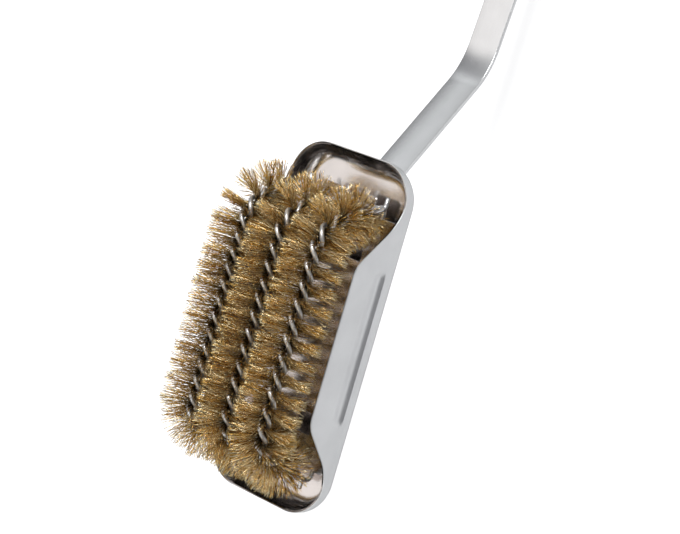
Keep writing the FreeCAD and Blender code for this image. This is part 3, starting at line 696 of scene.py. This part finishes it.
# ---------------------------------------------------------------- bristles
def kept_in(points, place, along):
    """Strands held inside the tray's walls and within a bristle's length of the stem."""
    limit = WALL_INNER - 0.35
    low_wall = np.array([rim_level(x) + 0.8 for x in points[:, 0]])
    y = points[:, 1]
    over = np.abs(y) - limit
    pressed = (points[:, 2] < low_wall) & (over > 0)
    points[:, 1] = np.where(pressed, np.sign(y) * (limit - 0.08 * over), y)
    radial = np.linalg.norm((points - place) - np.outer((points - place) @ along, along), axis=1)
    shrink = np.minimum(1.0, BRISTLE_RADIUS / np.maximum(radial, 1e-6))
    return place + (points - place) * shrink[:, None]


def build_bristles(row):
    """One row's brass wires, each a bent and wavy strand out of the twist."""
    stem = Stem(row)
    start, end = stem.bare, stem.length - stem.bare
    count = int((end - start) * BRISTLES_PER_MM) * 2
    runs = start + (end - start) * rng.random(count)
    sides = rng.integers(0, 2, count)
    verts, faces, marks = [], [], []
    shares = np.linspace(0, 1, BRISTLE_STEPS + 1)
    for run, opposite in zip(runs, sides):
        place, heading = stem.at(run)
        up = up_at(heading)
        along = np.array((math.cos(heading), 0.0, math.sin(heading)))
        turn = stem.turn(run) + math.pi / 2 + opposite * math.pi + rng.normal(0, 0.20)
        out = up * math.cos(turn) + ACROSS * math.sin(turn)
        side = ACROSS * math.cos(turn) - up * math.sin(turn)
        length = BRISTLE_RADIUS * (0.97 - abs(rng.normal(0, 0.045)))
        end_run = min(run - start, end - run)
        length *= 1 - END_TRIM * max(1 - end_run / END_TRIM_LENGTH, 0.0)
        lean = rng.normal(0, 0.10)
        bow = rng.normal(0, 1.0)
        bow_along = rng.normal(0, 1.0)
        wave, phase = rng.uniform(0.12, 0.36), rng.uniform(0, 2 * math.pi)
        waves = rng.uniform(2.4, 3.8)
        spin = rng.uniform(0, math.pi)
        reach = BRISTLE_ROOT + (length - BRISTLE_ROOT) * shares
        wiggle = wave * np.sin(2 * math.pi * waves * shares + phase) * np.minimum(shares * 4, 1)
        offset_side = bow * shares ** 2 + wiggle * math.cos(spin)
        offset_along = lean * reach + bow_along * shares ** 2 * 0.5 + wiggle * math.sin(spin)
        points = (place + np.outer(reach, out) + np.outer(offset_side, side)
                  + np.outer(offset_along, along))
        points = kept_in(points, place, along)
        thick = BRISTLE_THICK * rng.uniform(0.8, 1.15)
        first = len(verts)
        for k, point in enumerate(points):
            size = thick * (0.75 if k == BRISTLE_STEPS else 1.0)
            for c in range(BRISTLE_SIDES):
                angle = 2 * math.pi * c / BRISTLE_SIDES + spin
                verts.append(tuple(point + size * (math.cos(angle) * side + math.sin(angle) * along)))
        mark = int(rng.choice(3, p=BRASS_SHARES))
        strand = grid_faces(BRISTLE_STEPS + 1, BRISTLE_SIDES, first=first)
        last = first + BRISTLE_SIDES * BRISTLE_STEPS
        strand.append((last, last + 1, last + 2))
        faces += strand
        marks += [mark] * len(strand)
    obj = make_object(f"{row}_bristle_wires", verts, faces, brasses, marks)
    out_share = obj.data.attributes.new("out", "FLOAT", "POINT")
    out_share.data.foreach_set("value", np.tile(np.repeat(shares, BRISTLE_SIDES), count))
    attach(obj, "insert")
    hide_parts(f"row_{row}_bristles")
    return obj


for row_name in ROW_Y:
    for kind_name in ("tail", "hook"):
        build_wire(row_name, kind_name)
    build_bristles(row_name)


# ---------------------------------------------------------------- stage, light and camera
FLOOR_COLOUR, FLOOR_TO_CAMERA, FLOOR_TO_GLOSSY = (0.72, 0.72, 0.72, 1), 0.62, 0.05


def build_floor():
    """A pale floor that keeps the shadow and turns white for the camera."""
    lowest = cad_box[0][2] / MM - 1.0
    west, east, south, north = -900.0, 1200.0, -260.0, 1200.0
    verts = [(west, south, lowest), (east, south, lowest), (east, north, lowest), (west, north, lowest)]
    material, tree, shader = new_material("floor_white")
    shader.inputs["Base Color"].default_value = FLOOR_COLOUR
    shader.inputs["Roughness"].default_value = 0.9
    shader.inputs["Specular IOR Level"].default_value = 0.1
    glow = add_node(tree, "ShaderNodeEmission")
    glow.inputs["Color"].default_value = (1, 1, 1, 1)
    path = add_node(tree, "ShaderNodeLightPath")
    camera_part = add_node(tree, "ShaderNodeMath", operation="MULTIPLY")
    camera_part.inputs[1].default_value = FLOOR_TO_CAMERA
    tree.links.new(path.outputs["Is Camera Ray"], camera_part.inputs[0])
    strength = add_node(tree, "ShaderNodeMath", operation="MULTIPLY_ADD")
    strength.inputs[1].default_value = FLOOR_TO_GLOSSY
    tree.links.new(path.outputs["Is Glossy Ray"], strength.inputs[0])
    tree.links.new(camera_part.outputs[0], strength.inputs[2])
    tree.links.new(strength.outputs[0], glow.inputs["Strength"])
    total = add_node(tree, "ShaderNodeAddShader")
    tree.links.new(shader.outputs[0], total.inputs[0])
    tree.links.new(glow.outputs[0], total.inputs[1])
    tree.links.new(total.outputs[0], tree.nodes["Material Output"].inputs["Surface"])
    floor = make_object("floor", verts, [(0, 1, 2, 3)], [material], smooth=False)


build_floor()


# Paler and darker patches of the surroundings, which only reflections see, later ones over
# earlier ones: direction, degrees to the full and to the faded edge, colour.
PATCHES = (
    ((-0.95, 0.35, 0.12), 28, 52, (0.03, 0.03, 0.035, 1)),
    ((-0.10, -0.98, 0.05), 8, 38, (0.22, 0.22, 0.23, 1)),
    ((0.62, -0.74, -0.08), 8, 20, (1.3, 1.3, 1.3, 1)),
    ((0.35, 0.90, 0.25), 12, 34, (0.14, 0.14, 0.15, 1)),
    ((0.86, 0.50, -0.02), 12, 26, (0.04, 0.04, 0.04, 1)),
    ((0.72, 0.60, 0.36), 5, 14, (1.0, 1.01, 1.02, 1)),
    ((-0.08, 0.60, 0.80), 16, 32, (1.14, 1.10, 1.08, 1)),
    ((0.57, 0.62, 0.54), 3, 15, (0.34, 0.34, 0.35, 1)),
)
ROOM_GLOSSY, ROOM_PLAIN = (0.46, 0.46, 0.46, 1), (0.42, 0.42, 0.43, 1)


def build_world():
    world = bpy.data.worlds.new("studio")
    bpy.context.scene.world = world
    world.use_nodes = True
    tree = world.node_tree
    background = tree.nodes["Background"]
    where = add_node(tree, "ShaderNodeTexCoord")
    normal = where.outputs["Generated"]

    def cone(direction, inner, outer):
        """1 within a cone about a direction, fading to 0."""
        length = math.sqrt(sum(c * c for c in direction))
        dot = add_node(tree, "ShaderNodeVectorMath", operation="DOT_PRODUCT")
        dot.inputs[1].default_value = [c / length for c in direction]
        tree.links.new(normal, dot.inputs[0])
        fade = add_node(tree, "ShaderNodeMapRange", interpolation_type="SMOOTHSTEP")
        fade.inputs["From Min"].default_value = math.cos(math.radians(outer))
        fade.inputs["From Max"].default_value = math.cos(math.radians(inner))
        tree.links.new(dot.outputs["Value"], fade.inputs["Value"])
        return fade.outputs["Result"]

    path = add_node(tree, "ShaderNodeLightPath")
    last = None
    for direction, inner, outer, tint in PATCHES:
        mix = add_node(tree, "ShaderNodeMix", data_type="RGBA")
        tree.links.new(cone(direction, inner, outer), mix.inputs[0])
        if last is None:
            mix.inputs[6].default_value = ROOM_GLOSSY
        else:
            tree.links.new(last, mix.inputs[6])
        mix.inputs[7].default_value = tint
        last = mix.outputs[2]
    glossy = add_node(tree, "ShaderNodeMix", data_type="RGBA")
    tree.links.new(path.outputs["Is Glossy Ray"], glossy.inputs[0])
    glossy.inputs[6].default_value = ROOM_PLAIN
    tree.links.new(last, glossy.inputs[7])
    camera = add_node(tree, "ShaderNodeMix", data_type="RGBA")
    tree.links.new(path.outputs["Is Camera Ray"], camera.inputs[0])
    tree.links.new(glossy.outputs[2], camera.inputs[6])
    camera.inputs[7].default_value = (1, 1, 1, 1)
    tree.links.new(camera.outputs[2], background.inputs["Color"])
    background.inputs["Strength"].default_value = 1.0


build_world()


def area_light(name, place, aim, size, power):
    data = bpy.data.lights.new(name, "AREA")
    data.shape = "RECTANGLE"
    data.size, data.size_y = size
    data.energy = power
    lamp = bpy.data.objects.new(name, data)
    lamp.location = place
    lamp.rotation_euler = (Vector(aim) - Vector(place)).to_track_quat("-Z", "Y").to_euler()
    bpy.context.scene.collection.objects.link(lamp)
    return lamp


area_light("key", (1.0, -0.25, 1.35), (0, 0, 0), (0.8, 0.8), 20.0)
area_light("fill", (-1.1, 0.1, 1.1), (0, 0, 0), (0.9, 0.9), 6.0)


CAMERA_PLACE = Vector((0.132913, -0.558583, 0.698137))
CAMERA_RIGHT = Vector((0.27780, -0.72761, -0.62680))
CAMERA_DOWN = Vector((-0.95338, -0.28901, -0.08689))
CAMERA_LENS = 112.75


def build_camera():
    data = bpy.data.cameras.new("camera")
    data.sensor_width = 36.0
    data.lens = CAMERA_LENS
    data.clip_start, data.clip_end = 0.05, 30.0
    camera = bpy.data.objects.new("camera", data)
    right = CAMERA_RIGHT.normalized()
    down = CAMERA_DOWN.normalized()
    forward = right.cross(down).normalized()
    matrix = Matrix((right, -down, -forward)).transposed().to_4x4()
    matrix.translation = CAMERA_PLACE
    camera.matrix_world = matrix
    bpy.context.scene.collection.objects.link(camera)
    bpy.context.scene.camera = camera


build_camera()
bpy.context.scene.view_settings.view_transform = "Standard"
